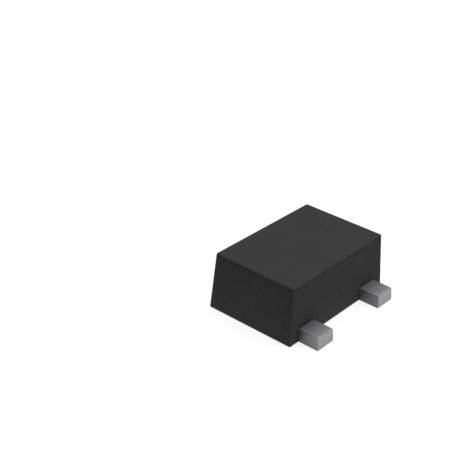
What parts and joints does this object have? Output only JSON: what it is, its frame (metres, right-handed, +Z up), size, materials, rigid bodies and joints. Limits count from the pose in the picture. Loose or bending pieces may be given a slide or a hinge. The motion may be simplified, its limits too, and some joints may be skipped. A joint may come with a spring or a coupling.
{
  "type": "pnp transistor",
  "caption": "Small-signal pnp transistor: a black moulded body with flat tinned leads at board level, soldered to pads on a circuit board.",
  "frame": {"origin": "middle of the package, halfway along it, across it and up it, the centroid that board layouts and placement machines give a package; the solder faces lie half the body's height below it", "axes": "+X along the body, with the base lead at -X and the emitter lead at +X; -Y towards those two leads and +Y towards the collector lead; +Z up from the board"},
  "size_m": [0.0012, 0.0012, 0.0004],
  "materials": {
    "mold_compound": "matte",
    "tinned_lead": "satin",
    "die_attach": "satin",
    "silicon": "polished",
    "die_metal": "satin",
    "bond_wire": "satin"
  },
  "bodies": {
    "root": {"mold_body": "mold_compound", "base_lead": "tinned_lead", "emitter_lead": "tinned_lead", "collector_lead": "tinned_lead", "die_attach": "die_attach", "silicon_die": "silicon", "base_pad": "die_metal", "emitter_pad": "die_metal", "base_bond_wire": "bond_wire", "emitter_bond_wire": "bond_wire"}
  },
  "joints": []
}
